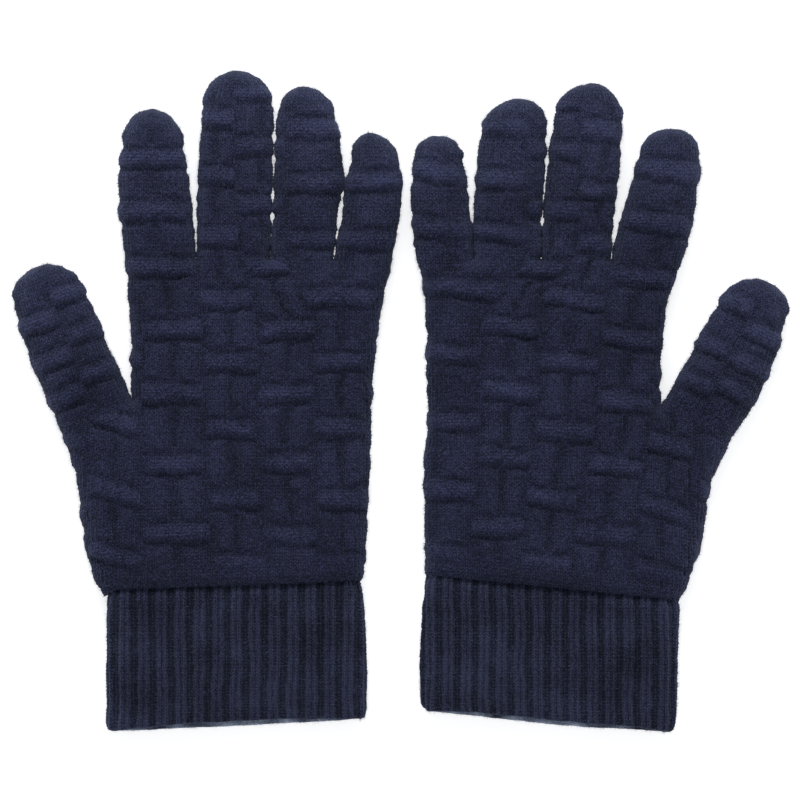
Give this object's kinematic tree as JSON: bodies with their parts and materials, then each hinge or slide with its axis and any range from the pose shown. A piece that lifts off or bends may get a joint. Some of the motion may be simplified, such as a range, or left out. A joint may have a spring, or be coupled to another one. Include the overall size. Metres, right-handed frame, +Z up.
{
  "type": "knitted gloves",
  "caption": "Pair of knitted gloves laid flat palms up, basket-weave hands and fingers, separate fingertips that curl, ribbed cuffs and open wrists.",
  "frame": {"origin": "on the surface the gloves lie on, at the middle of the pair's outline", "axes": "+Z up out of that surface, +Y from the wrists towards the fingertips, +X from the left glove to the right glove"},
  "size_m": [0.2919, 0.2505, 0.012],
  "materials": {
    "hand_knit": "matte brushed wool knit",
    "tip_knit": "matte plain knit",
    "cuff_knit": "matte ribbed knit"
  },
  "bodies": {
    "left_hand": {"left_hand": "hand_knit", "left_thumb_gusset": "hand_knit"},
    "left_cuff": {"left_cuff": "cuff_knit", "left_cuff_edge": "cuff_knit"},
    "left_index_finger": {"left_index_finger": "hand_knit"},
    "left_index_tip": {"left_index_tip": "tip_knit"},
    "left_middle_finger": {"left_middle_finger": "hand_knit"},
    "left_middle_tip": {"left_middle_tip": "tip_knit"},
    "left_ring_finger": {"left_ring_finger": "hand_knit"},
    "left_ring_tip": {"left_ring_tip": "tip_knit"},
    "left_little_finger": {"left_little_finger": "hand_knit"},
    "left_little_tip": {"left_little_tip": "tip_knit"},
    "left_thumb": {"left_thumb": "hand_knit"},
    "left_thumb_tip": {"left_thumb_tip": "tip_knit"},
    "right_hand": {"right_hand": "hand_knit", "right_thumb_gusset": "hand_knit"},
    "right_cuff": {"right_cuff": "cuff_knit", "right_cuff_edge": "cuff_knit"},
    "right_index_finger": {"right_index_finger": "hand_knit"},
    "right_index_tip": {"right_index_tip": "tip_knit"},
    "right_middle_finger": {"right_middle_finger": "hand_knit"},
    "right_middle_tip": {"right_middle_tip": "tip_knit"},
    "right_ring_finger": {"right_ring_finger": "hand_knit"},
    "right_ring_tip": {"right_ring_tip": "tip_knit"},
    "right_little_finger": {"right_little_finger": "hand_knit"},
    "right_little_tip": {"right_little_tip": "tip_knit"},
    "right_thumb": {"right_thumb": "hand_knit"},
    "right_thumb_tip": {"right_thumb_tip": "tip_knit"}
  },
  "joints": [
    {"name": "left_wrist_bend", "type": "hinge", "parent": "left_hand", "child": "left_cuff", "pos_m": [-0.063, -0.0695, 0.012], "axis": [-0.9994, -0.035, 0], "range_deg": [0, 70]},
    {"name": "left_index_knuckle", "type": "hinge", "parent": "left_hand", "child": "left_index_finger", "pos_m": [-0.0906, 0.054, 0.012], "axis": [1, 0, 0], "range_deg": [0, 85]},
    {"name": "left_index_middle_bend", "type": "hinge", "parent": "left_index_finger", "child": "left_index_tip", "pos_m": [-0.0906, 0.0821, 0.0115], "axis": [1, 0, 0], "range_deg": [0, 85]},
    {"name": "left_middle_knuckle", "type": "hinge", "parent": "left_hand", "child": "left_middle_finger", "pos_m": [-0.0632, 0.054, 0.012], "axis": [1, 0, 0], "range_deg": [0, 85]},
    {"name": "left_middle_middle_bend", "type": "hinge", "parent": "left_middle_finger", "child": "left_middle_tip", "pos_m": [-0.0632, 0.08965, 0.0115], "axis": [1, 0, 0], "range_deg": [0, 85]},
    {"name": "left_ring_knuckle", "type": "hinge", "parent": "left_hand", "child": "left_ring_finger", "pos_m": [-0.0372, 0.054, 0.012], "axis": [1, 0, 0], "range_deg": [0, 85]},
    {"name": "left_ring_middle_bend", "type": "hinge", "parent": "left_ring_finger", "child": "left_ring_tip", "pos_m": [-0.0372, 0.0864, 0.0115], "axis": [1, 0, 0], "range_deg": [0, 85]},
    {"name": "left_little_knuckle", "type": "hinge", "parent": "left_hand", "child": "left_little_finger", "pos_m": [-0.0138, 0.054, 0.012], "axis": [1, 0, 0], "range_deg": [0, 85]},
    {"name": "left_little_middle_bend", "type": "hinge", "parent": "left_little_finger", "child": "left_little_tip", "pos_m": [-0.0138, 0.0778, 0.0115], "axis": [1, 0, 0], "range_deg": [0, 85]},
    {"name": "left_thumb_root_bend", "type": "hinge", "parent": "left_hand", "child": "left_thumb", "pos_m": [-0.1153, -0.0042, 0.012], "axis": [0.9336, 0.3584, 0], "range_deg": [0, 55]},
    {"name": "left_thumb_middle_bend", "type": "hinge", "parent": "left_thumb", "child": "left_thumb_tip", "pos_m": [-0.12587, 0.02334, 0.0115], "axis": [0.9336, 0.3584, 0], "range_deg": [0, 55]},
    {"name": "right_glove_apart", "type": "slide", "parent": "left_hand", "child": "right_hand", "axis": [1, 0, 0], "range_m": [0, 0.08]},
    {"name": "right_wrist_bend", "type": "hinge", "parent": "right_hand", "child": "right_cuff", "pos_m": [0.0575, -0.07021, 0.012], "axis": [-0.995, 0.0995, 0], "range_deg": [0, 70]},
    {"name": "right_index_knuckle", "type": "hinge", "parent": "right_hand", "child": "right_index_finger", "pos_m": [0.093, 0.054, 0.012], "axis": [1, 0, 0], "range_deg": [0, 85]},
    {"name": "right_index_middle_bend", "type": "hinge", "parent": "right_index_finger", "child": "right_index_tip", "pos_m": [0.093, 0.07875, 0.0115], "axis": [1, 0, 0], "range_deg": [0, 85]},
    {"name": "right_middle_knuckle", "type": "hinge", "parent": "right_hand", "child": "right_middle_finger", "pos_m": [0.0664, 0.054, 0.012], "axis": [1, 0, 0], "range_deg": [0, 85]},
    {"name": "right_middle_middle_bend", "type": "hinge", "parent": "right_middle_finger", "child": "right_middle_tip", "pos_m": [0.0664, 0.087, 0.0115], "axis": [1, 0, 0], "range_deg": [0, 85]},
    {"name": "right_ring_knuckle", "type": "hinge", "parent": "right_hand", "child": "right_ring_finger", "pos_m": [0.0405, 0.054, 0.012], "axis": [1, 0, 0], "range_deg": [0, 85]},
    {"name": "right_ring_middle_bend", "type": "hinge", "parent": "right_ring_finger", "child": "right_ring_tip", "pos_m": [0.0405, 0.08435, 0.0115], "axis": [1, 0, 0], "range_deg": [0, 85]},
    {"name": "right_little_knuckle", "type": "hinge", "parent": "right_hand", "child": "right_little_finger", "pos_m": [0.0171, 0.054, 0.012], "axis": [1, 0, 0], "range_deg": [0, 85]},
    {"name": "right_little_middle_bend", "type": "hinge", "parent": "right_little_finger", "child": "right_little_tip", "pos_m": [0.0171, 0.07735, 0.0115], "axis": [1, 0, 0], "range_deg": [0, 85]},
    {"name": "right_thumb_root_bend", "type": "hinge", "parent": "right_hand", "child": "right_thumb", "pos_m": [0.1116, -0.0073, 0.012], "axis": [0.8988, -0.4384, 0], "range_deg": [0, 55]},
    {"name": "right_thumb_middle_bend", "type": "hinge", "parent": "right_thumb", "child": "right_thumb_tip", "pos_m": [0.1246, 0.01935, 0.0115], "axis": [0.8988, -0.4384, 0], "range_deg": [0, 55]}
  ],
  "couplings": [
    {"joint": "left_index_middle_bend", "follows": "left_index_knuckle", "ratio": 1},
    {"joint": "left_middle_middle_bend", "follows": "left_middle_knuckle", "ratio": 1},
    {"joint": "left_ring_middle_bend", "follows": "left_ring_knuckle", "ratio": 1},
    {"joint": "left_little_middle_bend", "follows": "left_little_knuckle", "ratio": 1},
    {"joint": "left_thumb_middle_bend", "follows": "left_thumb_root_bend", "ratio": 1},
    {"joint": "right_index_middle_bend", "follows": "right_index_knuckle", "ratio": 1},
    {"joint": "right_middle_middle_bend", "follows": "right_middle_knuckle", "ratio": 1},
    {"joint": "right_ring_middle_bend", "follows": "right_ring_knuckle", "ratio": 1},
    {"joint": "right_little_middle_bend", "follows": "right_little_knuckle", "ratio": 1},
    {"joint": "right_thumb_middle_bend", "follows": "right_thumb_root_bend", "ratio": 1}
  ]
}
